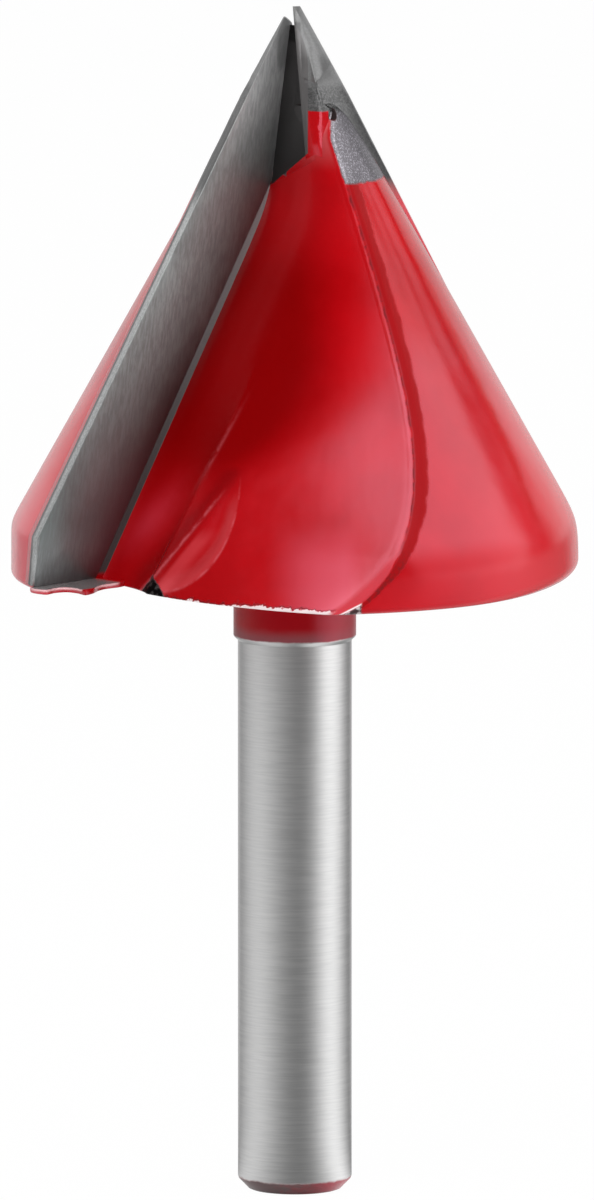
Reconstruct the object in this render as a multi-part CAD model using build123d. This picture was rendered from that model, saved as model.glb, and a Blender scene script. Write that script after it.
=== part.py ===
from build123d import *
import math
import os

# A two-flute V-groove router bit, standing on the end of its shank with its point up.
# The origin is the centre of the shank's end face and +Z runs up the axis to the point.
# Blade 1 is at -X and its rake face looks towards -Y. Blade 2 is the same half a turn round.
# A place on a blade is given by its reach, outwards along the rake plane from the axis,
# its height, and how far it lies behind the plane.

# Shank and collar
shank_diameter = 6.35
shank_chamfer = 0.8
collar_diameter = 6.84
collar_length = 3.4
collar_chamfer = 0.24

# Head: flat base, band and cone. The blades' edges sweep the cutting diameter, and the
# body stands inside them by a radial step. Depths are measured down from the cone's apex.
base_height = 34.6
cutting_diameter = 32.0
body_step = 0.2
band_height = 3.0
included_angle = 58.4
base_edge_radius = 0.45
shoulder_radius = 1.2
web_top_depth = 0.45
web_radius = 0.4

# Blades
blade_thickness = 1.5
blade_foot_width = 4.65
blade_shoulder_rise = 0.05
blade_inner_depth = 9.3
point_height = 0.65
point_width = 0.2
relief_angle = 8.0

# Rake plane: its line in plan, its set-back at the base, and how far above the cone's apex
# it comes to the axis
rake_plan_angle = 45.0
rake_set_back = 5.45
rake_axis_height = 1.8

# Gullet: steel left beside the blade, the heel's angle round the axis, and the floor's
# direction where it leaves the root and where it reaches the heel, in degrees
root_margin = 0.15
root_blend = 0.35
heel_base_angle = 279.0
heel_top_angle = 308.0
heel_run_out = 5.5
wall_base_angle = 293.0
wall_top_angle = 288.0
heel_arrival_angle = 157.0
floor_fullness = 0.33
smallest_section = 0.6

# The gullet's cutter leaves the blank near the apex, at a slope. A narrow gash, ground after
# painting, goes deeper and on up to the point. Its wall leaves the root at an angle in plan,
# and its bottom climbs along the wall at a slope.
gullet_stop_depth = 2.95
gullet_stop_slope = 0.58
gash_depth = 9.6
gash_wall_angle = 302.0
gash_bottom_slope = 0.44
gash_clearance = 8.0

# Blade 1's point has been ground shorter than blade 2's
point_wear = 0.62

# The corner where a floor runs out through the flank is rounded, less so near the point.
# The cut leaves the flank at a small angle, just outside it.
heel_rounding = 0.9
least_rounding = 0.1
leaving_angle = 8.0
leaving_clearance = 0.03

# Lip left under and in front of each blade at the base. A cutter has bitten its front edge
# near the rim, and the channel beside the root has cut its inner end.
lip_thickness = 0.3
lip_depth = 2.7
bite_radius = 1.6
bite_rim_distance = 1.0
bite_depth = 2.9
channel_radius = 1.3
channel_root_distance = 1.2
channel_depth = 2.0

# Reach of the cutting tools past the surfaces that they cut
clearance = 1.0
far_distance = 60.0
sweep_clearance = 0.02

# Sizes that follow
base = base_height
blade_foot = base + lip_thickness
shank_radius = shank_diameter / 2
collar_radius = collar_diameter / 2
cutting_radius = cutting_diameter / 2
band_radius = cutting_radius - body_step
flank = math.tan(math.radians(included_angle / 2))
shoulder = base + band_height
apex = shoulder + band_radius / flank
web_top = apex - web_top_depth
blade_shoulder = shoulder + blade_shoulder_rise
point = apex + point_height
gullet_stop = apex - gullet_stop_depth
gash_foot = apex - gash_depth
rake_lean = rake_set_back / (apex + rake_axis_height - base)
plan = math.radians(rake_plan_angle)
outward = Vector(-math.cos(plan), -math.sin(plan), 0)
forward = Vector(math.sin(plan), -math.cos(plan), 0)


def direction(degrees):
    """Unit vector in plan at an angle round the axis."""
    turn = math.radians(degrees)
    return Vector(math.cos(turn), math.sin(turn), 0)


def set_back(z):
    """Signed distance from the axis to the rake plane at a height, measured forward."""
    return -rake_set_back + rake_lean * (z - base)


def on_rake(reach, z, behind=0.0):
    """Point on the rake plane, or behind it, from its reach and height."""
    point = outward * reach + forward * (set_back(z) - behind)
    return Vector(point.X, point.Y, z)


def edge_reach(z):
    """Reach at which the full cutting circle meets the rake plane."""
    return math.sqrt(cutting_radius ** 2 - set_back(z) ** 2)


def blade_inner_reach(z):
    """The blade's straight inner edge, which runs in towards the axis as it climbs."""
    inner_foot = edge_reach(base) - blade_foot_width
    meets_axis = apex - blade_inner_depth
    return inner_foot * (meets_axis - z) / (meets_axis - base)


def root_reach(z):
    """Root of the gullet, just inside the blade, easing onto the axis near the point."""
    inner = blade_inner_reach(z) - root_margin
    return root_blend * math.log(1 + math.exp(inner / root_blend))


def flank_radius(z):
    """Radius of the body's band or cone at a height."""
    return min(band_radius, flank * (apex - z))


def heel_angle(z):
    """Angle round the axis at which the gullet's floor runs out through the flank."""
    fade = math.exp((base - z) / heel_run_out)
    return heel_top_angle - (heel_top_angle - heel_base_angle) * fade


def revolved(points, fillets=()):
    """Solid of revolution from an outline of (radius, height) points, with rounded corners."""
    outline = [Vector(radius, 0, height) for radius, height in points]
    face = Face(Wire.make_polygon(outline))
    for corner, radius in fillets:
        vertex = face.vertices().sort_by_distance(Vector(corner[0], 0, corner[1]))[0]
        face = face.fillet_2d(radius, [vertex])
    return revolve(face, axis=Axis.Z, revolution_arc=360)


def body_blank():
    """Turned blank: shank, collar, base, band and cone, with the head's corners rounded."""
    rim_corner = (band_radius, base)
    shoulder_corner = (band_radius, shoulder)
    outline = [
        (0, 0),
        (shank_radius - shank_chamfer, 0),
        (shank_radius, shank_chamfer),
        (shank_radius, base - collar_length - collar_chamfer),
        (collar_radius, base - collar_length),
        (collar_radius, base),
        rim_corner,
        shoulder_corner,
        (web_radius, apex - web_radius / flank),
        (web_radius, web_top),
        (0, web_top),
    ]
    return revolved(outline, [(rim_corner, base_edge_radius), (shoulder_corner, shoulder_radius)])


def core_section(z):
    """Outline, at one height, of the steel that a gullet leaves.

    The floor is a cubic curve. It leaves the root along the wall, and runs out towards the
    heel along the heel's own direction. A short quadratic curve turns the heel's corner on to
    the flank, and the rest of the outline stays clear of the blank.
    """
    share = (z - base) / (apex - base)
    radius = max(flank_radius(z), smallest_section)
    height = Vector(0, 0, z)
    root = on_rake(root_reach(z), z)
    corner = direction(heel_angle(z)) * radius + height
    wall = direction(wall_base_angle + (wall_top_angle - wall_base_angle) * share)
    back = direction(heel_arrival_angle)
    turn = max(heel_rounding * (1 - share), least_rounding)
    floor_end = corner + back * turn
    pull = floor_fullness * (floor_end - root).length
    leaving = heel_angle(z) + math.degrees(turn / radius)
    flank_end = direction(leaving) * (radius + leaving_clearance) + height
    behind_root = root - wall * 2 * clearance
    run_off = flank_end + direction(leaving + 90 - leaving_angle) * far_distance
    far_side = on_rake(-far_distance, z, clearance)
    return Wire([
        Line(behind_root, root).edge(),
        Bezier(root, root + wall * pull, floor_end + back * pull, floor_end).edge(),
        Bezier(floor_end, corner, flank_end).edge(),
        Line(flank_end, run_off).edge(),
        Line(run_off, far_side).edge(),
        Line(far_side, behind_root).edge(),
    ])


def gullet_core():
    """The steel beside gullet 1, lofted through its sections from the base to the point.

    The sections are closest at the base, where the heel turns fastest, and near the point.
    """
    shares = [-0.06, 0.0, 0.065, 0.145, 0.26, 0.4, 0.54, 0.64, 0.74, 0.83, 0.92, 1.06]
    return Solid.make_loft([core_section(base + share * (apex - base)) for share in shares])


def prism(corners, sweep):
    """Straight block: an outline of corners on one plane, swept along a vector."""
    return Solid.extrude(Face(Wire.make_polygon(corners)), sweep)


def make_lip():
    """Thin ledge that the cutter leaves in front of blade 1 at the base."""
    outer = cutting_radius + clearance
    ledge = prism([
        on_rake(0, base),
        on_rake(outer, base),
        on_rake(outer, base) + forward * lip_depth,
        on_rake(0, base) + forward * lip_depth,
    ], Vector(0, 0, lip_thickness))
    for radius, reach, depth in (
        (bite_radius, cutting_radius - bite_rim_distance, bite_depth),
        (channel_radius, root_reach(base) + channel_root_distance, channel_depth),
    ):
        centre = on_rake(reach, base) + forward * depth
        ledge = ledge - Pos(centre) * Cylinder(radius, 4 * lip_thickness)
    return ledge


def gash_section(z):
    """Outline, at one height, of the corner of the wheel that gashes flute 1."""
    root = on_rake(0, z)
    wall = direction(gash_wall_angle)
    outline = [root, root + outward * gash_clearance, root + wall * gash_clearance]
    return Wire.make_polygon(outline)


def gash_tool():
    """The gash in front of blade 1's point: the wheel's corner, above its sloping bottom."""
    low = gash_foot - gash_clearance
    high = point + clearance
    wheel = Solid.make_loft([gash_section(low), gash_section(high)], ruled=True)
    foot = on_rake(0, gash_foot)
    along_wall = direction(gash_wall_angle) + Vector(0, 0, gash_bottom_slope)
    along_rake = on_rake(1, gash_foot - gash_bottom_slope) - foot
    bottom = Plane(foot, x_dir=along_rake, z_dir=along_rake.cross(along_wall))
    block = Box(far_distance, far_distance, far_distance)
    return wheel & bottom * Pos(0, 0, far_distance / 2) * block


def gullet_tool():
    """All that is milled away in front of blade 1: ahead of the rake plane, outside the core."""
    bottom = base - clearance
    outer = cutting_radius + clearance
    slope = gullet_stop_slope * outer
    ahead = prism([
        on_rake(-outer, bottom),
        on_rake(outer, bottom),
        on_rake(outer, gullet_stop - slope),
        on_rake(-outer, gullet_stop + slope),
    ], forward * 2 * far_distance)
    return ahead - gullet_core()


def seat_tool():
    """Pocket milled for blade 1, open at the flank and in front, with a floor at the foot."""
    top = point + clearance
    outer = cutting_radius + clearance
    return prism([
        on_rake(outer, blade_foot),
        on_rake(outer, top),
        on_rake(blade_inner_reach(top), top),
        on_rake(blade_inner_reach(blade_foot), blade_foot),
    ], -forward * blade_thickness)


def blade_blank():
    """Ground plate: its outer edge falls back by the hook angle and the relief angle."""
    hook = math.degrees(math.asin(rake_set_back / cutting_radius))
    pull = blade_thickness * math.tan(math.radians(hook + relief_angle))
    outline = [
        (edge_reach(blade_foot), blade_foot, pull),
        (edge_reach(blade_shoulder), blade_shoulder, pull),
        (point_width, point, pull),
        (blade_inner_reach(point), point, 0),
        (blade_inner_reach(blade_foot), blade_foot, 0),
    ]
    front = [on_rake(reach, z) for reach, z, fall in outline]
    back = [on_rake(reach - fall, z, blade_thickness) for reach, z, fall in outline]
    faces = [Face(Wire.make_polygon(front)), Face(Wire.make_polygon(back))]
    count = len(outline)
    for i in range(count):
        j = (i + 1) % count
        faces.append(Face(Wire.make_polygon([front[i], front[j], back[j], back[i]])))
    return Solid(Shell(faces))


def cutting_envelope():
    """The space that the edges sweep, which no part of a blade may leave."""
    point_radius = math.hypot(point_width, set_back(point))
    outer = cutting_radius + sweep_clearance
    return revolved([
        (0, base - clearance),
        (outer, base - clearance),
        (outer, blade_shoulder),
        (point_radius + sweep_clearance, point),
        (0, point),
    ])


def half_turn(shape):
    """The same shape on the other side of the axis."""
    return shape.rotate(Axis.Z, 180)


def make_blade(gullet):
    """Blade 1: the plate, kept inside the cutting envelope and clear of the other gullet."""
    return blade_blank() & cutting_envelope() - half_turn(gullet)


def shortened(blade):
    """Blade 1 as it is now, with the last of its point ground off level."""
    keep = Cylinder(far_distance, 2 * far_distance)
    return blade & Pos(0, 0, point - point_wear - far_distance) * keep


def make_body(gullet, seat, lip):
    """Cutter body: the blank with both gullets and both seats milled out."""
    body = body_blank()
    for cut in (gullet - lip, seat):
        body = body - cut - half_turn(cut)
    return body


def main():
    gullet = gullet_tool() + gash_tool()
    blade = make_blade(gullet)
    body = make_body(gullet, seat_tool(), make_lip())
    parts = {
        "cutter_body": body,
        "carbide_blade_1": shortened(blade),
        "carbide_blade_2": half_turn(blade),
    }
    os.makedirs("parts", exist_ok=True)
    for name, shape in parts.items():
        export_step(shape, "parts/" + name + ".step")
        print(name, "volume", round(shape.volume, 1))


main()
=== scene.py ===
# %% [markdown]
# A two-flute V-groove router bit
#
# The tool stands on the end of its shank with its point up. Its real pieces are a steel body,
# painted red on the head and ground bright on the shank, and two flat carbide blades brazed
# into seats. This lesson loads the packed model, then dresses it: the body gets a fine skin
# with rounded corners and the shallow marks of its milling, and the blades get broken edges.
# Sizes are written in millimetres, as a toolmaker would, and turned into metres when a mesh
# is made.

# %% Load the frame
import math

import bmesh
import bpy
import numpy as np
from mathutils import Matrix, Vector


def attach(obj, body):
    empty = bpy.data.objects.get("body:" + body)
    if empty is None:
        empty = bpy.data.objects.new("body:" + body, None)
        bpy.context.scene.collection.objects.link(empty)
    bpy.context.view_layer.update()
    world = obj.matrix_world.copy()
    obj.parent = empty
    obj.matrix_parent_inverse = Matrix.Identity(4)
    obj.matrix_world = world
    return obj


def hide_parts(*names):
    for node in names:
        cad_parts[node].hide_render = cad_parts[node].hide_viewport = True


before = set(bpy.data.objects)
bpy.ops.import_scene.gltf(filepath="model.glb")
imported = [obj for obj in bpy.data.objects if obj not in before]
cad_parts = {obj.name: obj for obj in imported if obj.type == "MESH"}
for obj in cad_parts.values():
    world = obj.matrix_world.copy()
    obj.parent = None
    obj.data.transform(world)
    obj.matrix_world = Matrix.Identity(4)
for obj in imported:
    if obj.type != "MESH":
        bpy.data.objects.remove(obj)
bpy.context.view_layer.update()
MM = 0.001
scene = bpy.context.scene
scene.view_settings.view_transform = "Standard"
print("nodes", sorted(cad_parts))

# %% [markdown]
# Sizes
#
# The blank was turned, so most of the shape is a radius that depends on the height. The blade
# seats are milled parallel to a rake plane, which stands back from the axis at the base and
# leans forward until it meets the axis just above the point. A place on that plane has a
# reach, measured outwards from the axis, and a height. These few values are named once, so
# that every later piece and every painted mark follows them.

# %% The turned head, in millimetres
BASE_Z = 34.6
BAND_TALL = 3.0
CUTTING_R = 16.0
BAND_R = CUTTING_R - 0.2
CONE_ANGLE = 58.4
FLANK = math.tan(math.radians(CONE_ANGLE / 2))
SHOULDER_Z = BASE_Z + BAND_TALL
APEX_Z = SHOULDER_Z + BAND_R / FLANK
POINT_Z = APEX_Z + 0.65
HEAD = APEX_Z - BASE_Z
WEB_R = 0.4
print("band radius", round(BAND_R, 3), "apex", round(APEX_Z, 3), "point", round(POINT_Z, 3))

# %% The rake plane, and a blade on it
SET_BACK = 5.45
LEAN = SET_BACK / (HEAD + 1.8)
PLAN = math.radians(45)
OUT = np.array([-math.cos(PLAN), -math.sin(PLAN)])
FORWARD = np.array([math.sin(PLAN), -math.cos(PLAN)])
BLADE_THICK = 1.5
BLADE_WIDE = 4.65
INNER_FOOT = math.sqrt(CUTTING_R ** 2 - SET_BACK ** 2) - BLADE_WIDE
INNER_AXIS_Z = APEX_Z - 9.3
print("lean", round(math.degrees(math.atan(LEAN)), 2), "degrees; inner foot", round(INNER_FOOT, 2))


# %% [markdown]
# The floor of a gullet
#
# A gullet is one long cut beside the blade. It could be a swept cutter and a Boolean, but a
# formula gives its edges without facets. At any height the floor is a smooth curve: it leaves
# the root beside the blade almost straight forward, and turns until it runs out through the
# flank at the heel. A cubic curve with its two end directions given does this with four
# points, and a short quadratic turns the heel's corner.

# %% Steps, directions and curves in plan
def smooth_step(low, high, x):
    """0 before low, 1 past high, and 3t^2 - 2t^3 between them; low may be the larger."""
    t = np.clip((np.asarray(x, float) - low) / (np.asarray(high, float) - low), 0, 1)
    return t * t * (3 - 2 * t)


def unit(degrees):
    """Unit vectors in plan: the cosine and sine of each angle."""
    turn = np.radians(degrees)
    return np.stack([np.cos(turn), np.sin(turn)], -1)


def curve(points, t):
    """Bezier curve of any order by repeated blending of neighbours (de Casteljau)."""
    t = t[None, :, None]
    level = [p[:, None, :] for p in points]
    while len(level) > 1:
        level = [a * (1 - t) + b * t for a, b in zip(level, level[1:])]
    return level[0]


print("a smooth step at a quarter of its way:", round(float(smooth_step(0, 1, 0.25)), 4))


# %% Places on the rake plane
ROOT_MARGIN = 0.55
ROOT_BLEND = 0.35


def set_back(z):
    """Signed distance forward from the axis to the rake plane: a straight line in height."""
    return -SET_BACK + LEAN * (z - BASE_Z)


def on_rake(reach, z, behind=0.0):
    """Plan point: outward direction times reach, plus forward direction times the set-back."""
    reach = np.asarray(reach, float)[..., None]
    ahead = (np.asarray(set_back(z)) - behind)[..., None]
    return OUT * reach + FORWARD * ahead


def inner_reach(z):
    """The blade's inner edge: straight, and on the axis at a named height."""
    return INNER_FOOT * (INNER_AXIS_Z - z) / (INNER_AXIS_Z - BASE_Z)


def root_reach(z):
    """Soft maximum of zero and the inner edge less a margin: b log(1 + exp(x / b))."""
    return ROOT_BLEND * np.log1p(np.exp((inner_reach(z) - ROOT_MARGIN) / ROOT_BLEND))


print("root at the base, from the axis:", round(float(root_reach(BASE_Z)), 2), "mm")


# %% Radius of the blank, with the paint's rounding
SKIN_INSET = 0.003
SKIN_R = BAND_R - SKIN_INSET
RIM_R = 0.36
SOFT_RIM_R = 1.1
CRISP = 0.1
SOFT = 0.2


def flank_radius(z):
    """Band radius, or the cone's, whichever is less, down to the web's at the point."""
    return np.clip(FLANK * (APEX_Z - z), WEB_R, BAND_R)


def turned_radius(z, soft, rim_r):
    """Flank radius with a rounded shoulder and rim; soft, 0 to 1, widens the shoulder's rounding.

    The cone and the band are blended by a soft minimum, and the rim is a circular arc.
    """
    width = CRISP + SOFT * soft
    cone = FLANK * (APEX_Z - z)
    blended = cone - width * np.log1p(np.exp((cone - SKIN_R) / width))
    dip = np.clip(BASE_Z + rim_r - z, 0, rim_r)
    return np.maximum(blended - (rim_r - np.sqrt(rim_r ** 2 - dip ** 2)), WEB_R)


print("radius at the shoulder:", round(float(turned_radius(SHOULDER_Z, 0.0, RIM_R)), 3), "mm")

# %% Heel of a gullet: its angle at every height
HEEL_ANGLE = 308.0
HEEL_SWING = 29.0
SWING_FALL = 5.5
HEEL_RISE = 13.0
RISE_LOW, RISE_HIGH = 59.3, 61.0
HEEL_DROP = 17.0
DROP_Z = 61.3
DROP_SHARP = 0.12
DROP_HALF = 0.3


def heel_angle(z):
    """Angle of the heel: it swings quickly above the base, holds, and drops at the point.

    The swing is an exponential of the height above the base, and the drop a logistic step.
    """
    swing = HEEL_SWING * np.exp((BASE_Z - z) / SWING_FALL)
    tip = 1 / (1 + np.exp(-(z - DROP_Z) / DROP_SHARP))
    rise = HEEL_RISE * smooth_step(RISE_LOW, RISE_HIGH, z) * (1 - tip)
    return HEEL_ANGLE - swing + rise - HEEL_DROP * tip


print("heel at the base and at the shoulder:", heel_angle(np.array([BASE_Z, SHOULDER_Z])).round(1))

# %% Floor of a gullet
CURVE_POINTS = 110
HEEL_POINTS = 14
LEAVING_ANGLE, LEAVING_DRIFT = 293.0, 5.0
ARRIVING_ANGLE = 157.0
PULL = 0.33
HEEL_ROUND, LEAST_ROUND = 0.9, 0.1
LEAST_R = 0.6
PAST_FLANK = 0.03


def floor_curve(z, t):
    """Floor of gullet 1 in plan, one row for each height: cubic, then the quadratic corner.

    The cubic's two inner points lie a third of the way along the directions at its ends.
    """
    radius = np.maximum(flank_radius(z), LEAST_R)
    share = (z - BASE_Z) / HEAD
    root = on_rake(root_reach(z), z)
    corner = unit(heel_angle(z)) * radius[:, None]
    wall = unit(LEAVING_ANGLE - LEAVING_DRIFT * share)
    back = unit(np.full(z.shape, ARRIVING_ANGLE))
    turn = np.maximum(HEEL_ROUND * (1 - share), LEAST_ROUND)
    floor_end = corner + back * turn[:, None]
    pull = PULL * np.linalg.norm(floor_end - root, axis=1)[:, None]
    leaving = heel_angle(z) + np.degrees(turn / radius)
    flank_end = unit(leaving) * (radius + PAST_FLANK)[:, None]
    main = curve([root, root + wall * pull, floor_end + back * pull, floor_end], t)
    corner_t = np.linspace(0, 1, HEEL_POINTS)[1:]
    return np.concatenate([main, curve([floor_end, corner, flank_end], corner_t)], 1)


sample = floor_curve(np.array([BASE_Z]), np.linspace(0, 1, CURVE_POINTS))[0]
print("floor at the base:", len(sample), "points", sample[0].round(1), "to", sample[-1].round(1))


# %% [markdown]
# The head as one skin
#
# Each height gives one closed outline: floor, flank, the back of the other blade's plane, and
# the same again half a turn round. Stacking the outlines gives a grid, which is the whole head
# with its rim and shoulder. The lowest rows are pulled in along a quarter circle, so that the
# paint turns over the bottom corner instead of ending at a knife edge.

# %% Grid helpers
def mesh_object(name, points, faces, smooth=True):
    """Object at the origin from points in millimetres and a list of faces."""
    mesh = bpy.data.meshes.new(name)
    mesh.from_pydata((np.asarray(points) * MM).tolist(), [], faces)
    mesh.polygons.foreach_set("use_smooth", np.full(len(mesh.polygons), smooth))
    mesh.update()
    piece = bpy.data.objects.new(name, mesh)
    scene.collection.objects.link(piece)
    return piece


def ring_faces(rows, columns):
    """Quads of a grid whose columns close on themselves, as one index array."""
    low = np.arange(rows - 1)[:, None] * columns
    here = np.arange(columns)[None, :]
    after = (here + 1) % columns
    high = low + columns
    quads = np.stack([low + here, low + after, high + after, high + here], -1)
    return quads.reshape(-1, 4).tolist()


def closed_stack(name, grid):
    """Closed object from rows of closed outlines, with a flat face at each end."""
    rows, columns = grid.shape[:2]
    faces = ring_faces(rows, columns)
    faces.append(list(range(columns))[::-1])
    faces.append(list(range((rows - 1) * columns, rows * columns)))
    return mesh_object(name, grid.reshape(-1, 3), faces)


print("a ring of 3 rows and 4 columns has", len(ring_faces(3, 4)), "faces")

# %% Marks of the mill in the floor
FLOOR_POINTS = 96
CHANNEL_WIDTH = 5.0
CHANNEL_DEPTH = 0.55
CHANNEL_FULL_Z, CHANNEL_GONE_Z = 41.5, 48.0
SCOOP_DEPTH = 0.32
SCOOP_X, SCOOP_Z = -8.07, 41.3
SCOOP_HALF_WIDE, SCOOP_HALF_TALL = 5.13, 6.6
SCOOP_TOP_Z = 41.6
SCOOP_RUN_OUT = 1.7
OVAL_EDGE, OVAL_SOFT = 0.98, 0.15
SLOPE_X, SLOPE_Z, SLOPE = -3.05, 41.4, 0.81
TINY = 1e-6


def clip_to_circle(floor, radius):
    """Slides a row's points back along the curve so that it ends where it meets the circle."""
    size = np.linalg.norm(floor, axis=2)
    past = size[:, 2:] >= radius[:, None]
    last = np.where(past.any(1), np.argmax(past, axis=1) + 1, floor.shape[1] - 2)
    rows = np.arange(len(floor))
    a, b = size[rows, last], size[rows, last + 1]
    s = np.clip((radius - a) / np.where(np.abs(b - a) < TINY, 1.0, b - a), 0, 1)
    at = np.linspace(0, 1, FLOOR_POINTS)[None, :] * (last + s)[:, None]
    low = np.minimum(at.astype(int), floor.shape[1] - 2)
    part = (at - low)[..., None]
    picked = np.take_along_axis(floor, low[..., None], 1) * (1 - part)
    return picked + np.take_along_axis(floor, (low + 1)[..., None], 1) * part


def inward_units(steps):
    """Unit vectors into the steel: the vectors that run along each row, turned a quarter left."""
    unit_steps = steps / np.maximum(np.linalg.norm(steps, axis=2, keepdims=True), TINY)
    return np.stack([-unit_steps[..., 1], unit_steps[..., 0]], -1)


def carve_floor(floor, z):
    """Cuts two things into the floor: the channel beside the root, and a mill's shallow scoop.

    The channel is a trough, (4u(1 - u))^0.8 across its width, that fades out above the middle
    of the cone. The scoop has an oval edge on its right, and runs out at a sloping line.
    """
    step = np.linalg.norm(np.diff(floor, axis=1), axis=2)
    run = np.concatenate([np.zeros((len(floor), 1)), np.cumsum(step, 1)], 1)
    u = np.clip(run / CHANNEL_WIDTH, 0, 1)
    trough = (4 * u * (1 - u)) ** 0.8
    trough = trough * (1 - smooth_step(CHANNEL_FULL_Z, CHANNEL_GONE_Z, z))[:, None]
    x, level = floor[..., 0], z[:, None]
    oval = np.hypot((x - SCOOP_X) / SCOOP_HALF_WIDE, (level - SCOOP_Z) / SCOOP_HALF_TALL)
    left = x - SLOPE_X + SLOPE * (SLOPE_Z - level)
    scoop = smooth_step(0, SCOOP_RUN_OUT, left) * smooth_step(0, OVAL_SOFT, OVAL_EDGE - oval)
    depth = CHANNEL_DEPTH * trough + SCOOP_DEPTH * scoop * (level < SCOOP_TOP_Z)
    return floor + inward_units(np.gradient(floor, axis=1)) * depth[..., None]


print("channel", CHANNEL_DEPTH, "mm deep, scoop", SCOOP_DEPTH, "mm")

# %% Flank of a half, with the crease in its paint
FLANK_POINTS = 64
PLANE_POINTS = 14
PLANE_GAP = 0.03
CREASE_ANGLE, CREASE_DRIFT = 330.0, 8.0
CREASE_HALF = 5
CREASE_DEPTH = 0.12
SOFT_RIM_FROM, SOFT_RIM_FULL = 305, 345
SHARP_RIGHT = (350, 385)
SHARP_LEFT = (290, 330)


def crease_depth(turn, share, z, radius):
    """How far the flank lies back beside the heel: full before the crease's angle, none past it.

    It fades out below 38 mm, above 60 mm, near the axis, and at the heel itself.
    """
    at = CREASE_ANGLE + CREASE_DRIFT * smooth_step(50, 37, z)[:, None]
    before = 1 - smooth_step(at - CREASE_HALF, at + CREASE_HALF, turn)
    off_axis = smooth_step(0.3, 1.5, radius)
    off_heel = smooth_step(0, 1, share * 6)
    fade = smooth_step(38, 47, z) * smooth_step(60, 56, z)
    return CREASE_DEPTH * before * off_axis * off_heel * fade[:, None]


def half_outline(z, sharpens):
    """Floor, flank arc and rake line of one half, as rows of plan points.

    The rim and shoulder are round up to the first angle of sharpens and sharp past the second.
    """
    raw = floor_curve(z, np.linspace(0, 1, CURVE_POINTS))
    floor = clip_to_circle(raw, turned_radius(z, 1.0, RIM_R))
    start = np.degrees(np.arctan2(floor[:, -1, 1], floor[:, -1, 0])) % 360
    blade_radius = turned_radius(z, 0.0, RIM_R)
    ahead = np.minimum(np.abs(set_back(z)) + PLANE_GAP, blade_radius * 0.98)
    reach = np.sqrt(blade_radius ** 2 - ahead ** 2)
    corner = -(OUT * reach[:, None] - FORWARD * ahead[:, None])
    stop = np.degrees(np.arctan2(corner[:, 1], corner[:, 0])) % 360 + 360
    stop = np.maximum(stop, start + 1)
    share = np.linspace(0, 1, FLANK_POINTS + 1)[None, 1:]
    turn = start[:, None] * (1 - share) + stop[:, None] * share
    soft = 1 - smooth_step(*sharpens, turn)
    wide = soft * smooth_step(SOFT_RIM_FROM, SOFT_RIM_FULL, turn)
    rim_r = RIM_R + (SOFT_RIM_R - RIM_R) * wide
    radius = turned_radius(z[:, None], soft, rim_r)
    arc = unit(turn) * (radius - crease_depth(turn, share, z, radius))[..., None]
    root = -(OUT * root_reach(z)[:, None] - FORWARD * ahead[:, None])
    share = np.linspace(0, 1, PLANE_POINTS + 1)[None, 1:-1, None]
    line = corner[:, None, :] * (1 - share) + root[:, None, :] * share
    return np.concatenate([carve_floor(floor, z), arc, line], 1)


half = half_outline(np.array([BASE_Z, SHOULDER_Z]), SHARP_RIGHT)
print("points in half an outline:", half.shape[1])

# %% The head, stacked
CORNER_BREAK = 0.1
WEB_TOP_Z = APEX_Z - 0.45


def head_grid():
    """Rows of the whole outline: a half and its half turn, at heights bunched at the rim.

    The lowest rows move inwards by the corner's break less the square root of a quarter circle.
    """
    rim = BASE_Z + CORNER_BREAK * (1 - np.cos(np.linspace(0, math.pi / 2, 4)))
    band = np.linspace(BASE_Z + CORNER_BREAK, BASE_Z + SOFT_RIM_R, 15)[1:]
    cone = np.linspace(BASE_Z + SOFT_RIM_R, WEB_TOP_Z, 150)[1:]
    z = np.concatenate([rim, band, cone])
    plan = np.concatenate([half_outline(z, SHARP_RIGHT), -half_outline(z, SHARP_LEFT)], 1)
    inward = inward_units(np.roll(plan, -1, 1) - np.roll(plan, 1, 1))
    dip = np.clip((BASE_Z + CORNER_BREAK - z) / CORNER_BREAK, 0, 1)
    pull = CORNER_BREAK * (1 - np.sqrt(1 - dip ** 2))
    plan = plan + inward * pull[:, None, None]
    height = np.broadcast_to(z[:, None, None], plan.shape[:2] + (1,))
    return np.concatenate([plan, height], -1)


grid = head_grid()
body = closed_stack("cutter_body_skin", grid)
print("head rows and columns", grid.shape[:2])

# %% [markdown]
# Shank and collar
#
# The shank is the round end that the collet grips, ground bright, with a small chamfer at its
# foot. The collar above it is a little wider. A cylinder with a bevel would do, but a turned
# profile carried round the axis gives every chamfer at once, as the lathe does.

# %% Shank and collar, turned
SHANK_R = 3.175
FOOT_INSET = 0.56
FOOT_TALL = 0.66
COLLAR_R = 3.42
COLLAR_CHAMFER = 0.24
COLLAR_Z = BASE_Z - 3.4
ROUND_COLUMNS = 192


def revolved(name, profile):
    """Closed turned object: each (radius, height) of the profile swept round the axis."""
    turn = np.linspace(0, 2 * math.pi, ROUND_COLUMNS, endpoint=False)
    radius, height = np.asarray(profile, float).T
    return closed_stack(name, np.stack([
        radius[:, None] * np.cos(turn),
        radius[:, None] * np.sin(turn),
        np.broadcast_to(height[:, None], (len(height), ROUND_COLUMNS)),
    ], -1))


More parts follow.
